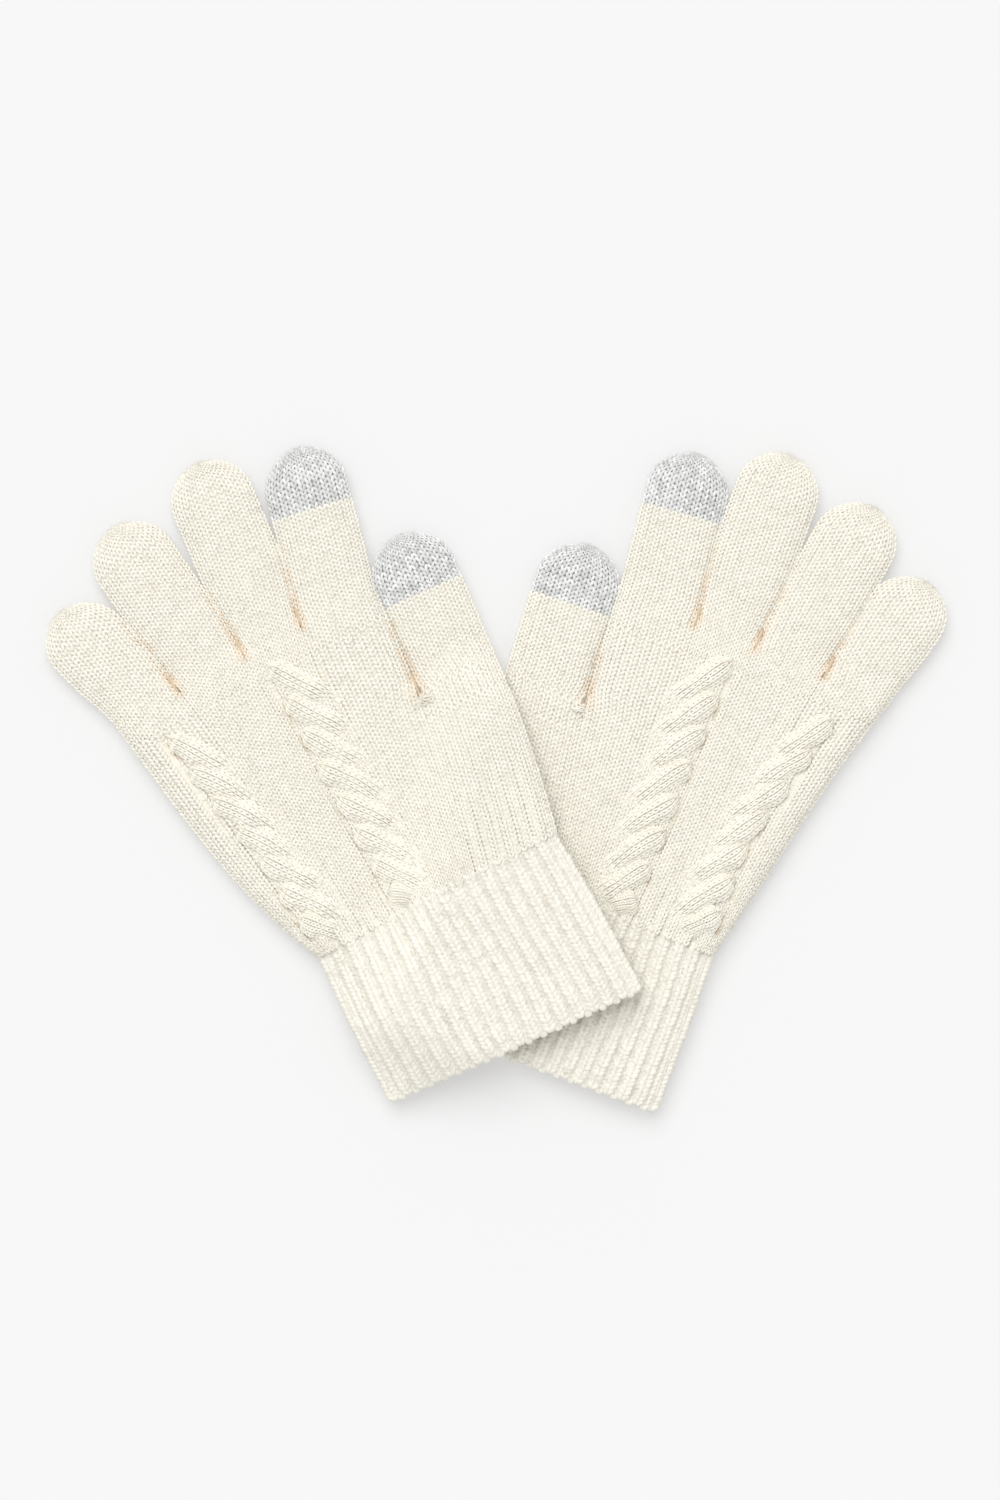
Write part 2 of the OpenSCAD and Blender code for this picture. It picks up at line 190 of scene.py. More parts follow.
# %% From a glove's plane to the table
def lift(side, xy):
    """How far the upper glove stands off the table where it lies on the lower one."""
    if side == "right":
        return np.zeros(len(xy))
    r = xy - ORIGIN["right"]
    u, v = r @ U["right"], r @ V["right"]
    edge = np.where(v < CUFF_L, CUFF_W / 2, seam("right", 5, v))
    out = np.hypot(np.maximum(0, u - edge), np.maximum(0, -v))
    return (HAND_T + LAY_GAP) * smooth(1 - out / DRAPE_RUN) * smooth((FADE_TOP - v) / FADE_RUN)


def place(side, points):
    """Points (u, v, z) of a glove, in their place on the table."""
    p = np.asarray(points, float)
    shape = p.shape
    p = p.reshape(-1, 3)
    xy = ORIGIN[side] + p[:, :1] * U[side] + p[:, 1:2] * V[side]
    z = p[:, 2] + lift(side, xy)
    return np.column_stack([xy, z]).reshape(shape)


print("cuff of the left glove is at z", place("left", [[0, 20, 0]])[0].round(1))

# %% [markdown]
# ## Sheets
# A sheet is one face of a strip of knitting, front or back: a grid with a row for each course
# and a column for each wale. The profile across is flat in the hand and round at every free
# side, and the wales stand at equal steps along it.


# %% Rows and profiles
def finger_end_v(f):
    return (CROTCH_V if f == THUMB else FORK_V) + FINGER_L[f]


def rows_of(f, v_from, v_to):
    """Heights of the courses, and the shares of width and thickness left at each.

    The last courses go round the tip.
    """
    r = FULL_W[f] / 2
    tip = finger_end_v(f) - r
    stop = min(v_to, tip)
    n = max(1, round((stop - v_from) / COURSE))
    v = list(np.linspace(v_from, stop, n + 1))
    width, thick = [1.0] * len(v), [1.0] * len(v)
    if v_to > tip:
        n = round(r * math.pi / 2 / (1.25 * COURSE))
        for i in range(1, n + 1):
            a = math.pi / 2 * i / n
            v.append(tip + r * math.sin(a))
            width.append(max(0.03, math.cos(a)))
            thick.append(max(0.12, math.cos(a) ** 0.55))
    return np.array(v), np.array(width), np.array(thick)


def sides_of(side, f, v, width):
    """The two sides of a strip at heights v, and how free each one is: 0 joined, 1 round."""
    if f == THUMB:
        root_v, low, high = CROTCH_V, seam(side, 4, v), seam(side, 5, v)
    else:
        root_v, low, high = FORK_V, seam(side, f, v), seam(side, f + 1, v)
    grown = smooth((v - root_v) / 30)
    half = width * (FORK_W[f] + 0.3 + (FULL_W[f] - FORK_W[f] - 0.3) * grown) / 2
    middle = ROOT[side, f][0] + (v - root_v) * LEAN[side, f]
    finger = v >= root_v
    low = np.where(finger, middle - half, low)
    high = np.where(finger, middle + half, high)
    fork = smooth((v - root_v + 1) / 9)
    free_low = np.ones_like(v) if f == 0 else fork
    free_high = np.ones_like(v) if f == THUMB else fork
    if f == 3:
        free_high = smooth((v - CROTCH_V + 1) / 9)
    return low, high, free_low, free_high


def thickness(f, v):
    root_v = CROTCH_V if f == THUMB else FORK_V
    return HAND_T + (FINGER_T - HAND_T) * smooth((v - root_v + 10) / 20)


def profile(x, low, high, free_low, free_high, r):
    """Share of the half thickness at x across a strip."""
    def rounding(d):
        return (1 - (1 - np.clip(d / r, 0, 1)) ** 2.1) ** 0.5

    at_low = 1 - free_low * (1 - rounding(x - low))
    at_high = 1 - free_high * (1 - rounding(high - x))
    crown = 1 - 0.1 * np.clip(np.abs(2 * x - low - high) / np.maximum(high - low, 1), 0, 1) ** 2
    crown = 1 - (1 - crown) * np.maximum(free_low, free_high)
    return at_low * at_high * crown


# %% [markdown]
# The back of the hand isn't quite flat: a furrow runs down each cable's little-finger side, the
# wales gather into pleats above the cuff, and the whole surface has slight waves.


# %% Furrows and waves
CABLE_LOW, CABLE_HIGH = 60.0, 150.0
FURROW_DEPTH = 1.1
PLEAT_DEPTH = 0.5
RIBS = 18


def furrow(side, which, v):
    """The line of the furrow beside the inner or the outer cable."""
    if which == "inner":
        return seam(side, 2, v) + 4.5 * (v - CUFF_L) / 100
    return seam(side, 0, v) + 3 + 7.5 * smooth((v - CUFF_L) / 40)


def relief(side, u, v):
    """Height of the back of the hand over its smooth surface."""
    z = 0.22 * np.sin(u / 7.3 + v / 11.0) * np.sin(v / 8.7 - u / 13.0)
    within = smooth((v - CABLE_LOW) / 8) * smooth((CABLE_HIGH - v) / 8)
    for which in ("inner", "outer"):
        d = u - furrow(side, which, v)
        z = z - within * FURROW_DEPTH * np.exp(-((d + 0.5) / 1.7) ** 2)
        z = z - within * 0.5 * np.exp(-((d - 17) / 2.0) ** 2)
    share = u / np.maximum(seam(side, 5, v) - seam(side, 0, v) + 5, 1)
    reach = 34 + 26 * smooth((share - 0.05) / 0.3)
    pleat = smooth((CUFF_L + reach - v) / reach)
    return z - PLEAT_DEPTH * pleat * np.cos(2 * math.pi * RIBS * share)


def sheet(side, f, v_from, v_to, up, shares, rows=None):
    """The grid of points of one face of a strip, at the given shares of the way across."""
    v, width, thick = rows_of(f, v_from, v_to) if rows is None else rows
    low, high, free_low, free_high = sides_of(side, f, v, width)
    root_v = CROTCH_V if f == THUMB else FORK_V
    tilt = 0.8 * LEAN[side, f] * smooth((v - root_v) / 22)
    half_t = thickness(f, v) / 2
    q = (1 - np.cos(np.linspace(0, math.pi, 61))) / 2
    grid = np.zeros((len(v), len(shares), 3))
    for i in range(len(v)):
        r = min(6.0 + 2.5 * smooth((v[i] - root_v) / 12), 0.95 * (high[i] - low[i]) / 2 + 0.01)
        x = low[i] + (high[i] - low[i]) * q
        z = (half_t[i] * thick[i]) * profile(x, low[i], high[i], free_low[i], free_high[i], r)
        z = z - LEG_SINK * z / half_t[i]
        run = np.concatenate([[0], np.cumsum(np.hypot(np.diff(x), np.diff(z)))])
        at = np.asarray(shares) * run[-1]
        u = np.interp(at, run, x)
        h = np.interp(at, run, z)
        grid[i, :, 0] = u
        grid[i, :, 1] = v[i] - tilt[i] * (u - (low[i] + high[i]) / 2)
        if up > 0:
            shown = np.clip(h / half_t[i], 0, 1) * smooth((root_v + 6 - v[i]) / 14)
            h = h + relief(side, u, v[i]) * shown
        grid[i, :, 2] = half_t[i] + up * h
    return grid


def frames(side, grid, up):
    """Placed points with the steps across and along a sheet and its normal."""
    p = place(side, grid)
    across = np.gradient(p, axis=1)
    along = np.gradient(p, axis=0)
    normal = np.cross(across, along)
    normal /= np.maximum(np.linalg.norm(normal, axis=2, keepdims=True), 1e-9)
    return p, across, along, normal * up * (1 if side == "left" else -1)


ring_back = sheet("left", 1, FORK_V, finger_end_v(1), 1, (np.arange(12) + 0.5) / 12)
print("ring finger's back: courses, wales, axes", ring_back.shape)

# %% [markdown]
# ## Yarn
# One stitch is two legs that lean outwards from the stitch below. A leg is a small closed
# spindle, made once from a sphere and then stamped at every stitch of a sheet.


# %% The legs of a stitch
def arrays(bm):
    """The points and the triangles of a bmesh."""
    bmesh.ops.triangulate(bm, faces=bm.faces[:])
    bmesh.ops.recalc_face_normals(bm, faces=bm.faces[:])
    bm.verts.index_update()
    points = np.array([v.co[:] for v in bm.verts])
    tris = np.array([[v.index for v in f.verts] for f in bm.faces])
    bm.free()
    return points, tris


def spindle(around, along):
    """A unit sphere with its poles at z -1 and 1."""
    bm = bmesh.new()
    bmesh.ops.create_uvsphere(bm, u_segments=around, v_segments=along, radius=1)
    return arrays(bm)


def stitch(around, along, lean=0.29, length=1.5, width=0.29, height=0.48):
    """Two mirrored legs: x in wales, y in courses, z in millimetres over the sheet."""
    ball, faces = spindle(around, along)
    points, tris = [], []
    for k, turn in enumerate((1, -1)):
        s = (ball[:, 2] + 1) / 2
        x = 0.07 + lean * s**0.8 + width * ball[:, 0]
        y = -0.55 + length * s + 0.12 * ball[:, 0]
        z = 0.32 * np.sin(math.pi * s) - 0.22 + height * ball[:, 1]
        points.append(np.column_stack([turn * x, y, z]))
        tris.append((faces if turn > 0 else faces[:, ::-1]) + k * len(ball))
    return np.concatenate(points), np.concatenate(tris)


def facing_out(points, tris):
    """Turns the triangles over if they enclose a negative volume."""
    a, b, c = (points[tris[:, k]] for k in range(3))
    volume = np.einsum("ij,ij->i", a, np.cross(b, c)).sum()
    return tris if volume > 0 else tris[:, ::-1]


FINE = stitch(5, 4)
PLAIN = stitch(4, 3)
print("a stitch has", len(FINE[1]), "triangles on the back and", len(PLAIN[1]), "on the palm")


# %% [markdown]
# A machine sets every stitch alike, but soft yarn doesn't lie still: each copy is a little larger
# or smaller than the next and stands a little higher or lower.

# %% Stamping stitches over a sheet
rng = np.random.default_rng(11)


def stamp(template, p, across, along, normal, jitter=0.05):
    """The template at every point of p, sized by the steps of the sheet."""
    points, tris = template
    n = len(p)
    x, y, z = points[:, 0], points[:, 1], points[:, 2]
    size = 1 + jitter * rng.normal(size=(n, 1, 1))
    raised = 0.06 * rng.normal(size=(n, 1))
    verts = p[:, None, :] + size * (
        x[None, :, None] * across[:, None, :] + y[None, :, None] * along[:, None, :]
    ) + (z[None, :] + raised)[..., None] * normal[:, None, :]
    faces = facing_out(verts[n // 2], tris)
    faces = faces[None] + (np.arange(n) * len(points))[:, None, None]
    return verts.reshape(-1, 3), faces.reshape(-1, 3)


# %% [markdown]
# ## Fuzz
# Brushed yarn has a halo of fibres. A hair is a three-sided cone with four corners, because
# there are tens of thousands of them, and each one leans its own way.


# %% Hairs
def needle():
    """A cone along z from a root of radius 1 at z 0 to a tip at z 1."""
    bm = bmesh.new()
    bmesh.ops.create_cone(bm, cap_ends=True, segments=3, radius1=1, radius2=0, depth=1)
    bmesh.ops.translate(bm, verts=bm.verts[:], vec=(0, 0, 0.5))
    return arrays(bm)


NEEDLE = needle()
HAIR_R, HAIR_L = 0.034, 2.3


def unit(a):
    return a / np.maximum(np.linalg.norm(a, axis=-1, keepdims=True), 1e-9)


def fibres(p, across, along, normal, count):
    """Short hairs that stand off a sheet."""
    pick = rng.integers(0, len(p), count)
    ea, eb, n = unit(across[pick]), unit(along[pick]), normal[pick]
    aside = across[pick] * rng.uniform(-0.5, 0.5, (count, 1))
    root = p[pick] + aside + along[pick] * rng.uniform(-0.5, 0.5, (count, 1)) + 0.1 * n
    lay = rng.uniform(0, 2 * math.pi, (count, 1))
    flat = np.cos(lay) * ea + np.sin(lay) * eb
    side = -np.sin(lay) * ea + np.cos(lay) * eb
    length = HAIR_L * rng.uniform(0.5, 1.3, (count, 1))
    rise = rng.uniform(0.12, 0.75, (count, 1))
    way = length * (0.9 * flat + rise * n)
    points, tris = NEEDLE
    x, y, z = (points[None, :, k, None] for k in range(3))
    verts = root[:, None] + z * way[:, None] + HAIR_R * (x * side[:, None] + y * n[:, None])
    faces = facing_out(verts[0], tris)
    faces = faces[None] + (np.arange(count) * len(points))[:, None, None]
    return verts.reshape(-1, 3), faces.reshape(-1, 3)


# %% [markdown]
# ## Ground
# Under the stitches lies a thin closed layer of cloth, so nothing shows through between the legs.
# A flat grid is extruded into a plate, and then its two faces are laid on two sheets of points.


# %% The ground of a sheet
def layer(over, under):
    """A closed plate whose faces follow two grids of points with the same rows and columns."""
    rows, columns = over.shape[:2]
    bm = bmesh.new()
    bmesh.ops.create_grid(bm, x_segments=columns - 1, y_segments=rows - 1, size=0.5)
    grown = bmesh.ops.extrude_face_region(bm, geom=bm.faces[:], use_keep_orig=True)["geom"]
    lower = [v for v in grown if isinstance(v, bmesh.types.BMVert)]
    bmesh.ops.translate(bm, verts=lower, vec=(0, 0, -1))
    points, tris = arrays(bm)
    i = np.rint((points[:, 1] + 0.5) * (rows - 1)).astype(int)
    j = np.rint((points[:, 0] + 0.5) * (columns - 1)).astype(int)
    laid_points = np.where(points[:, 2:] > -0.5, over[i, j], under[i, j])
    return laid_points, facing_out(laid_points - laid_points.mean(0), tris)


def slab(side, grid, up, top=0.16, depth=1.1):
    """The plate under a sheet: sunk by top, and depth thick."""
    p, across, along, normal = frames(side, grid, up)
    return layer(p - top * normal, p - (top + depth) * normal)


# %% [markdown]
# ## Yarn colours
# Plain finishes: three near shades of the cream yarn so that the stitches don't look printed,
# a warmer, darker ground between them that is painted shade of the gaps, and the same for the grey tips.


# %% Finishes
def finish(name, colour, sheen=0.25, roughness=0.9):
    """A plain soft finish: constants only, with a little sheen for yarn."""
    mat = bpy.data.materials.new(name)
    mat.use_nodes = True
    shader = mat.node_tree.nodes["Principled BSDF"]
    shader.inputs["Base Color"].default_value = (*colour, 1)
    shader.inputs["Roughness"].default_value = roughness
    shader.inputs["Specular IOR Level"].default_value = 0.15
    shader.inputs["Sheen Weight"].default_value = sheen
    shader.inputs["Sheen Roughness"].default_value = 0.6
    shader.inputs["Sheen Tint"].default_value = (*colour, 1)
    return mat


# The third shade is the lightest: besides its random share it is painted light on hairs, cable strands and the
# tuft, which look greyer in their own shade.
CREAM = [finish("cream_yarn_a", (0.912, 0.884, 0.80)), finish("cream_yarn_b", (0.902, 0.872, 0.788)),
         finish("cream_yarn_c_and_painted_light", (0.936, 0.907, 0.82))]
# The ground is darker and warmer than the yarn: painted shade of the gaps between the legs.
CREAM_GROUND_SHADE = finish("cream_ground_painted_shade", (0.91, 0.868, 0.76), sheen=0)
# Warm cream: painted shade of the light that bounces between two fingers.
SLIT_PAINTED_SHADE = finish("cream_slit_painted_shade", (0.90, 0.82, 0.70), sheen=0)
# Dark tan: painted shade in the forks and painted shadow in the cable furrows.
HOLLOW_SHADE = finish("cream_hollow_painted_shade", (0.74, 0.60, 0.44), sheen=0)
# The third grey is the lightest, and it is also painted light on the hairs of the tips.
GREY = [finish("grey_yarn_a", (0.76, 0.765, 0.755)), finish("grey_yarn_b", (0.66, 0.665, 0.655)),
        finish("grey_yarn_c_and_painted_light", (0.86, 0.865, 0.855))]
# A dark ground: painted shade of the gaps between the grey legs.
GREY_GROUND_SHADE = finish("grey_ground_painted_shade", (0.30, 0.30, 0.295), sheen=0)
print("finishes", len(CREAM) + len(GREY) + 2)


# %% [markdown]
# ## From parts to a piece
# Thousands of stitches, their hairs and the ground under them are joined into one mesh, so a
# piece stays one object; its slot only picks the cream or the grey yarns. The shade of each leg is picked at
# random from the three.


# %% Making a piece out of its parts
class Piece:
    """Collects arrays of points and triangles and turns them into one object."""

    def __init__(self, name, slot):
        self.name, self.slot = name, slot
        self.points, self.tris, self.mats, self.count = [], [], [], 0

    def add(self, part, shade=None, per=0):
        """shade is a material index, or None for one at random for every run of per triangles."""
        points, tris = part
        self.points.append(points)
        self.tris.append(tris + self.count)
        if shade is None:
            runs = rng.choice(3, len(tris) // per + 1, p=(0.5, 0.25, 0.25))
            self.mats.append(np.repeat(runs, per)[: len(tris)])
        else:
            self.mats.append(np.full(len(tris), shade))
        self.count += len(points)

    def make(self):
        points = np.concatenate(self.points) * MM
        tris = np.concatenate(self.tris)
        mats = np.concatenate(self.mats)
        mesh = bpy.data.meshes.new(self.name)
        mesh.vertices.add(len(points))
        mesh.vertices.foreach_set("co", points.astype(np.float32).ravel())
        mesh.loops.add(tris.size)
        mesh.loops.foreach_set("vertex_index", tris.astype(np.int32).ravel())
        mesh.polygons.add(len(tris))
        mesh.polygons.foreach_set("loop_start", np.arange(0, tris.size, 3, dtype=np.int32))
        grey = self.slot == "grey_touch_knit"
        yarns = GREY + [GREY_GROUND_SHADE] if grey else CREAM + [CREAM_GROUND_SHADE]
        for mat in yarns + [SLIT_PAINTED_SHADE, HOLLOW_SHADE]:
            mesh.materials.append(mat)
        mesh.polygons.foreach_set("material_index", mats.astype(np.int32))
        mesh.polygons.foreach_set("use_smooth", np.ones(len(tris), bool))
        mesh.update(calc_edges=True)
        ob = bpy.data.objects.new(self.name, mesh)
        bpy.context.collection.objects.link(ob)
        PIECES.append(ob)
        return ob


# Every finished piece, and the places of the lightest yarn shade (also painted light) and of the painted-shade
# ground, slit and hollow
PIECES = []
PAINTED_LIGHT, GROUND_SHADE, SLIT_SHADE, DEEP_SHADE = 2, 3, 4, 5
print("materials of a piece", DEEP_SHADE + 1)

# %% [markdown]
# ## Stocking stitch
# The plain knitting of the hand and the fingers: the V side is out on the back and on the palm.
# Where two fingers face each other, some stitches are painted a warmer cream: painted shade of the warm light that
# bounces between the fingers.

# %% Knit a strip
# How far above the forks the painted warm shade reaches
SLIT_SHADE_L = 30.0


def in_slit_shade(f, root_v, v, column, n):
    """True where a stitch facing the next finger above the fork gets painted warm shade, less and less often
    further up.
    """
    fork = CROTCH_V if f == 3 else root_v
    chance = rng.uniform(0.2, 1, len(v))
    low = (column == 0) & (f > 0) & (v > root_v - 1) & (v < root_v + SLIT_SHADE_L * chance)
    high = (column == n - 1) & (f < THUMB) & (v > fork - 1) & (v < fork + SLIT_SHADE_L * chance)
    return low | high


def knit(name, slot, side, f, v_from, v_to, n, hair=1.9):
    """A strip of stocking stitch, back and palm, as one piece."""
    piece = Piece(name, slot)
    for up, template in ((1, FINE), (-1, PLAIN)):
        shares = (np.arange(n) + 0.5) / n
        p, across, along, normal = frames(side, sheet(side, f, v_from, v_to, up, shares), up)
        flat = [a[:-1].reshape(-1, 3) for a in (p, across, along, normal)]
        v = np.repeat(rows_of(f, v_from, v_to)[0][:-1], n)
        column = np.tile(np.arange(n), len(v) // n)
        slit_shade = in_slit_shade(f, ROOT[side, f][1], v, column, n)
        piece.add(stamp(template, *[a[~slit_shade] for a in flat]), per=len(template[1]) // 2)
        # Stitches in a slit get the painted warm shade.
        if slit_shade.any():
            piece.add(stamp(template, *[a[slit_shade] for a in flat]), shade=SLIT_SHADE)
        if up > 0:
            area = np.linalg.norm(np.cross(flat[1], flat[2]), axis=1).sum()
            # Hairs take the lightest shade: painted light, since thin hairs lie in their own shade.
            piece.add(fibres(*flat, int(hair * area)), shade=PAINTED_LIGHT)
        ground = sheet(side, f, v_from, v_to, up, np.linspace(0, 1, n + 1))
        piece.add(slab(side, ground, up), shade=GROUND_SHADE)
    return piece.make()


print("slits are warm for", SLIT_SHADE_L, "mm above the forks")

# %% [markdown]
# ## Fingers
# Each finger is a lower piece across the knuckle line and an upper piece across the middle fold.
# Index fingers and thumbs end in a grey tip.


def bend(ob, side, a, b, u, v):
    """Bakes a piece's place into its mesh. side, a, b, u and v are not used."""
    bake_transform(ob)


def split_v(f):
    """Where the lower piece of a finger ends: halfway between its two folds."""
    return (ROOT["left", f][1] + FOLD["left", f][1]) / 2


print("lower pieces end at v", [round(split_v(f), 1) for f in range(len(FINGERS))])

# %% Knit the fingers
for side in SIDES:
    for f, finger in enumerate(FINGERS):
        hand, lower, upper = f"{side}_hand", f"{side}_{finger}_lower", f"{side}_{finger}_upper"
        root_v, end_v = ROOT[side, f][1], finger_end_v(f)
        touch_v = end_v - TOUCH_L if finger in ("index", "thumb") else end_v
        strip = side, f
        wales = FINGER_WALES[f]
        name = f"{side}_{finger}_base_knit"
        base = knit(name, "cream_knit", *strip, root_v - OVERLAP, split_v(f), wales)
        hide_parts(f"{side}_{finger}_base")
        bend(base, side, hand, lower, *ROOT[side, f])
        end = knit(f"{side}_{finger}_end_knit", "cream_knit", *strip, split_v(f), touch_v, wales)
        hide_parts(f"{side}_{finger}_end")
        bend(end, side, lower, upper, *FOLD[side, f])
        if touch_v < end_v:
            name = f"{side}_{finger}_touch_knit"
            tip = knit(name, "grey_touch_knit", *strip, touch_v, end_v, wales, hair=1.4)
            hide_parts(f"{side}_{finger}_touch_tip")
            bend(tip, side, lower, upper, *FOLD[side, f])
print("finger pieces", len(PIECES), "triangles", sum(len(o.data.polygons) for o in PIECES))

# %% [markdown]
# ## The hand
# One strip of wales under every finger, from the cuff up to just below the forks.

# %% Knit the hands
for side in SIDES:
    for f, finger in enumerate(FINGERS):
        top = ROOT[side, f][1] - OVERLAP
        strip = knit(f"{side}_hand_{finger}_wales", "cream_knit", side, f, CUFF_L, top, HAND_WALES[f])
        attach(strip, f"{side}_hand")
        if finger == "middle":
            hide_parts(f"{side}_hand_back", f"{side}_hand_palm")
print("pieces", len(PIECES), "triangles", sum(len(o.data.polygons) for o in PIECES))


# %% [markdown]
# ## Forks
# Where two fingers part, a narrow web of cloth closes the knitting; it is dark tan, painted shade
# of the deep fork. A small tuft of yarn sits on the thumb's fork.


# %% Close the forks
WEB_BELOW, WEB_ABOVE, WEB_W, WEB_T = 7, 9, 1.8, 7.6
TUFT_YARNS, TUFT_YARN_D = 34, 0.3


def blob(middle, ends, aside, high):
    """A closed spindle between two ends (u, v), aside wide and high thick, around height middle."""
    ball, tris = spindle(5, 4)
    a, b = np.asarray(ends, float)
    along = (b - a) / 2
    across = np.array([along[1], -along[0]]) / np.hypot(*along) * aside / 2
    uv = (a + b) / 2 + ball[:, 2:] * along + ball[:, :1] * across
    return np.column_stack([uv, middle + high / 2 * ball[:, 1]]), tris


def laid(side, part):
    """A part that was drawn in a glove's plane, put in its place on the table."""
    points, tris = part
    points = place(side, points)
    return points, facing_out(points - points.mean(0), tris)


for side in SIDES:
    piece = Piece(f"{side}_webs_and_tuft", "cream_knit")
    for f, k in ((0, 1), (1, 2), (2, 3), (3, 4)):
        v = CROTCH_V if k == THUMB else FORK_V
        u = float(seam(side, k, v))
        top = u + WEB_ABOVE * (LEAN[side, f] + LEAN[side, k]) / 2
        ends = ((u, v - WEB_BELOW), (top, v + WEB_ABOVE))
        # The web is dark tan: painted shade of the fork.
        piece.add(laid(side, blob(HAND_T / 2, ends, WEB_W, WEB_T)), shade=DEEP_SHADE)
    v, u = CROTCH_V, float(seam(side, 4, CROTCH_V))
    # The tuft's yarns take the lightest shade: painted light.
    for _ in range(TUFT_YARNS):
        turn, reach = rng.uniform(-0.3, 3.4), rng.uniform(2.0, 6.0)
        start = (u + rng.normal() * 0.7, v - 1 + rng.normal() * 0.9)
        stop = (start[0] + reach * math.cos(turn), start[1] - 0.8 * reach * abs(math.sin(turn)))
        height = HAND_T + rng.uniform(-0.6, 0.0)
        yarn = blob(height, (start, stop), TUFT_YARN_D, TUFT_YARN_D)
        piece.add(laid(side, yarn), shade=PAINTED_LIGHT)
    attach(piece.make(), f"{side}_hand")
print("webs and tufts for", len(SIDES), "gloves")

# %% [markdown]
# ## Cables
# Each cable is a stack of strands that cross from the furrow down to the thumb side. A strand
# is a dome of cloth with its own stitches, thick where it starts and thin where it dives under.


# %% The shape of a strand
# How far a strand runs across the hand and down it, and its size at the head
STRAND_SPAN, STRAND_DROP = 13.5, 21.0
STRAND_HALF, STRAND_TALL = 4.1, 2.6
STRAND_SINK = 0.9


def strand_grid(side, which, head_v, shares, steps, odd, sink=0.0):
    """Points (u, v, z) over a strand, a row for each step along it.

    odd holds two angles that give every strand waves of its own. The lowest strands are
    shorter, because they stop at the cuff.
    """
    a = np.linspace(0, 1, steps)
    reach = min(1.0, (head_v - CUFF_L - 1) / (STRAND_DROP + 1))
    span, drop = STRAND_SPAN * reach**0.5, STRAND_DROP * reach
    g = furrow(side, which, head_v)
    cu = g + 1.2 + span * (0.8 * a + 0.2 * smooth(a))
    cv = head_v + 1 - drop * (0.75 * a + 0.25 * a**2)
    du, dv = np.gradient(cu), np.gradient(cv)
    size = np.hypot(du, dv)
    nu, nv = -dv / size, du / size
    wave = 1 + 0.07 * np.sin(9 * a + odd[0]) + 0.05 * np.sin(17 * a + odd[1])
    round_head = np.sqrt(np.clip(1 - (1 - np.clip(a / 0.3, 0, 1)) ** 2, 0.06, 1))
    half = STRAND_HALF * wave * (1 - 0.2 * a) * round_head
    cu = cu + 0.3 * np.sin(6 * a + odd[1])
    rise = np.clip((a + 0.04) / 0.16, 0, 1) ** 0.5
    tall = STRAND_TALL * wave * rise * (1 - 0.9 * smooth((a - 0.6) / 0.4))
    foot = HAND_T - LEG_SINK - STRAND_SINK - sink
    grid = np.zeros((steps, len(shares), 3))
    for j, b in enumerate(shares):
        u, v = cu + b * half * nu, cv + b * half * nv
        dome = np.clip(1 - abs(b) ** 4.5, 0, 1) ** 0.6
        grid[:, j] = np.column_stack([u, v, foot + tall * dome])
    return grid


print("a strand is", round(math.hypot(STRAND_SPAN, STRAND_DROP), 1), "mm long")

# %% One strand
ROPE = stitch(6, 4, lean=0.27, length=1.6, width=0.25, height=0.6)
STRAND_COURSES = 13
STRAND_HAIRS = 150


def strand(piece, side, which, head_v):
    """Adds a strand to a cable: its stitches, hairs and ground, and a dark spindle beside its head that is painted
    shadow in the furrow.
    """
    shares = np.linspace(-0.9, 0.9, 5)
    odd = rng.uniform(0, 2 * math.pi, 2)
    grid = strand_grid(side, which, head_v, shares, STRAND_COURSES, odd)
    p, across, along, normal = frames(side, grid, 1)
    if normal[..., 2].mean() < 0:
        normal = -normal
    flat = [a.reshape(-1, 3) for a in (p, across, along, normal)]
    # A strand's stitches and hairs take the lightest shade: painted light that lifts the shade on its sloping
    # sides.
    piece.add(stamp(ROPE, *flat), shade=PAINTED_LIGHT)
    piece.add(fibres(*flat, STRAND_HAIRS), shade=PAINTED_LIGHT)
    shares = np.linspace(-1, 1, 9)
    over = place(side, strand_grid(side, which, head_v, shares, STRAND_COURSES, odd, 0.3))
    under = over.copy()
    under[..., 2] = over[..., 2].min() - 0.8
    piece.add(layer(over, under), shade=GROUND_SHADE)
    # A dark tan spindle in the furrow beside the head: painted shadow.
    low_v = max(CUFF_L + 2, head_v - 8)
    ends = [(furrow(side, which, v) - 0.4, v) for v in (head_v + 1, low_v)]
    piece.add(laid(side, blob(HAND_T - LEG_SINK - STRAND_SINK, ends, 0.7, 1.2)), shade=DEEP_SHADE)


print("a strand's stitch has", len(ROPE[1]), "triangles")

# %% Lay the cables
# Heights of the strands' heads, from the top down
HEAD_STEP = 12.3
HEADS = {"inner": np.arange(150.0, 63.0, -HEAD_STEP), "outer": np.arange(144.0, 66.0, -HEAD_STEP)}
for side in SIDES:
    for which, heads in HEADS.items():
        piece = Piece(f"{side}_{which}_cable_knit", "cream_knit")
        for head_v in heads:
            strand(piece, side, which, head_v)
        ob = piece.make()
        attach(ob, f"{side}_hand")
        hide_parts(f"{side}_{which}_cable")
print("pieces", len(PIECES))

# %% [markdown]
# ## Cuffs
# The cuff is 1x1 rib: raised wales of large stitches with sunk ones between them. It flares a
# little to its mouth, where the ribs make a scalloped edge that rolls in.

# %% Sizes of the rib
# Depth of the ribs, height of a course, the flare and the edge at the mouth
RIB_H = 0.5
CUFF_COURSE = 1.6
FLARE = 1.4
SCALLOP = 0.3
HEM_L = 5.0
# A cuff lies a little askew: how much v changes with u at the mouth
SLANT = {"left": -0.055, "right": -0.02}
CUFF_HAIRS = 2.8
print("ribs", RIBS, "at", CUFF_W / RIBS, "mm")


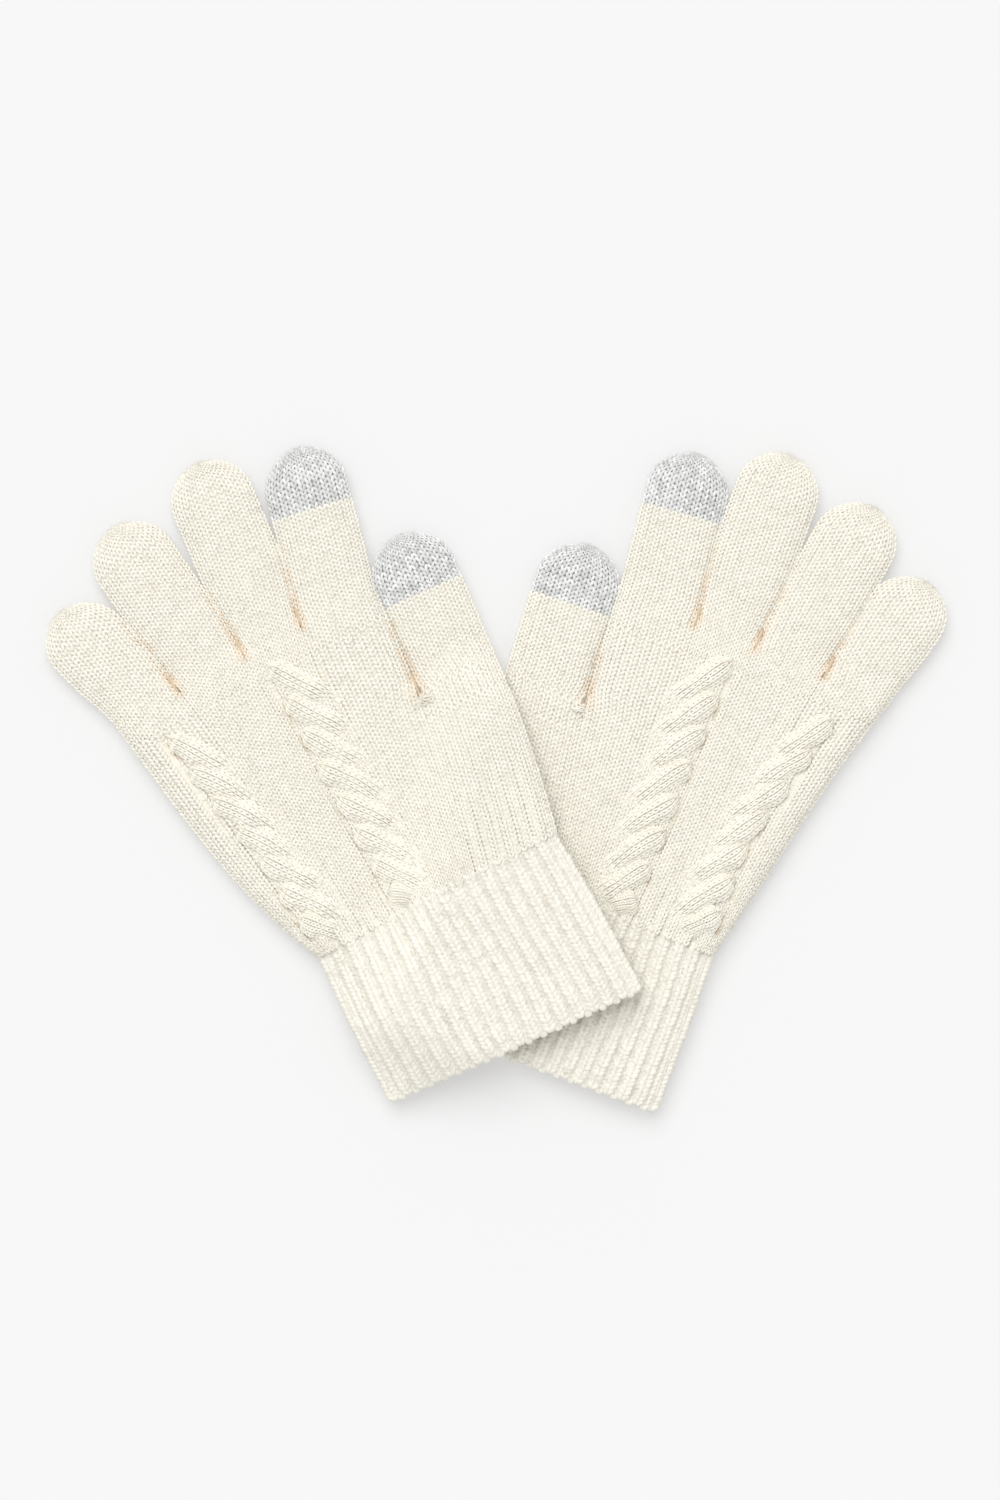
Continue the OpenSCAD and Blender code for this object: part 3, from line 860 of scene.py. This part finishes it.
# %% The surface of a cuff
def rib_height(shares):
    """Height of the ribbed surface over the smooth tube: 0 on a rib, lowest between ribs."""
    return -RIB_H * (0.5 + 0.5 * np.cos(2 * math.pi * RIBS * np.asarray(shares)))


def hem_roll(v):
    """Share of the half thickness near the mouth, where the edge rolls in."""
    return 1 - 0.16 * (1 - smooth((v + 1) / 5))


def cuff_sheet(side, up, shares, rise, v_from, v_to):
    """A grid over one face of the cuff; rise is each column's height over the smooth tube."""
    shares = np.asarray(shares)
    v = np.linspace(v_from, v_to, round((v_to - v_from) / CUFF_COURSE) + 1)
    q = (1 - np.cos(np.linspace(0, math.pi, 81))) / 2
    half_t = HAND_T / 2
    grid = np.zeros((len(v), len(shares), 3))
    for i in range(len(v)):
        share = v[i] / CUFF_L
        w = CUFF_W / 2 - 0.4 + 0.8 * math.sin(math.pi * min(share, 1)) + FLARE * (1 - share) ** 2
        x = -w + 2 * w * q
        z = (half_t - LEG_SINK) * hem_roll(v[i]) * profile(x, -w, w, 1.0, 1.0, 7.0)
        run = np.concatenate([[0], np.cumsum(np.hypot(np.diff(x), np.diff(z)))])
        sway = 0.5 * np.sin(v[i] / 9.0 + 9 * shares) / (2 * w)
        at = np.clip(shares + sway * np.sin(math.pi * shares), 0, 1) * run[-1]
        u, h = np.interp(at, run, x), np.interp(at, run, z)
        slope_u = np.interp(at, run, np.gradient(x, run))
        slope_h = np.interp(at, run, np.gradient(z, run))
        slant = (1 - share) * SLANT[side] * u
        scallop = SCALLOP * np.cos(2 * math.pi * RIBS * shares + math.pi) * np.exp(-v[i] / 4)
        grid[i, :, 0] = u - slope_h * rise
        grid[i, :, 1] = v[i] + slant + scallop
        grid[i, :, 2] = half_t + up * (h + slope_u * rise)
    return grid


hem_row = cuff_sheet("left", 1, (0.0, 1.0), 0.0, 0.0, HEM_L)[0]
print("mouth is", round(float(hem_row[1, 0] - hem_row[0, 0]), 1), "mm wide")

# %% Knit the cuffs
RIB_FINE = stitch(6, 4, lean=0.17, length=1.8, width=0.25, height=0.34)
RIB_PLAIN = stitch(4, 3, lean=0.17, length=1.8, width=0.25, height=0.34)
for side in SIDES:
    for v_from, v_to, node in ((0.0, HEM_L, "cuff_hem"), (HEM_L, CUFF_L, "cuff")):
        piece = Piece(f"{side}_{node}_knit", "cream_knit")
        for up, template in ((1, RIB_FINE), (-1, RIB_PLAIN)):
            shares = (np.arange(RIBS) + 0.5) / RIBS
            grid = cuff_sheet(side, up, shares, 0.0, v_from, v_to)
            p, across, along, normal = frames(side, grid, up)
            flat = [a.reshape(-1, 3) for a in (p, across, along, normal)]
            piece.add(stamp(template, *flat), per=len(template[1]) // 2)
            if up > 0:
                piece.add(fibres(*flat, int(CUFF_HAIRS * CUFF_W * (v_to - v_from))), shade=0)
            between = np.arange(1, RIBS) / RIBS
            grid = cuff_sheet(side, up, between, -RIB_H, v_from, v_to)
            p, across, along, normal = frames(side, grid, up)
            flat = [a.reshape(-1, 3) for a in (p, across * 0.8, along, normal)]
            piece.add(stamp(template, *flat), per=len(template[1]) // 2)
            ground = np.linspace(0, 1, 4 * RIBS + 1)
            grid = cuff_sheet(side, up, ground, rib_height(ground) + 0.1, v_from, v_to)
            piece.add(slab(side, grid, up), shade=GROUND_SHADE)
        ob = piece.make()
        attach(ob, f"{side}_hand")
        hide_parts(f"{side}_{node}")
print("pieces", len(PIECES), "triangles", sum(len(o.data.polygons) for o in PIECES))

# %% [markdown]
# ## Elastic
# The elastic inside the cuff keeps its CAD shape and gets a plain finish.

# %% Finish the elastic
ELASTIC = finish("elastic", (0.85, 0.84, 0.80), sheen=0, roughness=0.6)
for side in SIDES:
    ob = frame["nodes"][f"{side}_cuff_elastic"]
    ob.data.materials.clear()
    ob.data.materials.append(ELASTIC)

# %% [markdown]
# ## Floor
# A pale floor just under the gloves. It glows a little, so the shadows on it stay as soft and
# light as on a lit table.

# %% Lay the floor
FLOOR_HALF, FLOOR_DOWN = 3, 0.0002
FLOOR_GLOW = 0.34
WHITE = finish("floor_white", (0.52, 0.52, 0.52), sheen=0)
shader = WHITE.node_tree.nodes["Principled BSDF"]
shader.inputs["Emission Color"].default_value = (1, 1, 1, 1)
shader.inputs["Emission Strength"].default_value = FLOOR_GLOW
bm = bmesh.new()
bmesh.ops.create_grid(bm, x_segments=1, y_segments=1, size=FLOOR_HALF)
mesh = bpy.data.meshes.new("floor")
bm.to_mesh(mesh)
bm.free()
mesh.materials.append(WHITE)
floor = bpy.data.objects.new("floor", mesh)
floor.location.z = -FLOOR_DOWN
bpy.context.collection.objects.link(floor)
print("floor is", 2 * FLOOR_HALF, "m wide")

# %% [markdown]
# ## Light
# Most of the light comes from all round, as in a studio tent. A wide sun from above the
# fingertips gives the stitches and cables their small shadows.

# %% Light the gloves
SKY_STRENGTH = 0.72
SUN_STRENGTH = 1.6
SUN_WIDTH, SUN_TILT, SUN_SIDE = (math.radians(a) for a in (50, 32, 12))
world = bpy.data.worlds.new("soft_white")
world.use_nodes = True
background = world.node_tree.nodes["Background"]
background.inputs["Color"].default_value = (1, 1, 1, 1)
background.inputs["Strength"].default_value = SKY_STRENGTH
bpy.context.scene.world = world
sun_data = bpy.data.lights.new("sun", "SUN")
sun_data.energy = SUN_STRENGTH
sun_data.angle = SUN_WIDTH
sun = bpy.data.objects.new("sun", sun_data)
sun.rotation_euler = (-SUN_TILT, -SUN_SIDE, 0)
bpy.context.collection.objects.link(sun)
bpy.context.scene.view_settings.view_transform = "Standard"
print("sun", SUN_STRENGTH, "sky", SKY_STRENGTH)

# %% [markdown]
# ## Camera
# It looks straight down, from so high that the gloves hardly show any perspective.

# %% Set the camera
CAMERA_X, CAMERA_Y, CAMERA_H = 0.0015, 0.0097, 1.6
GLOVE_H = 0.01
VIEW_W = 0.336
SENSOR = 36
camera_data = bpy.data.cameras.new("camera")
camera_data.sensor_fit = "HORIZONTAL"
camera_data.sensor_width = SENSOR
camera_data.lens = SENSOR * (CAMERA_H - GLOVE_H) / VIEW_W
camera = bpy.data.objects.new("camera", camera_data)
camera.location = (CAMERA_X, CAMERA_Y, CAMERA_H)
bpy.context.collection.objects.link(camera)
bpy.context.scene.camera = camera
print("camera lens", round(camera_data.lens, 1))
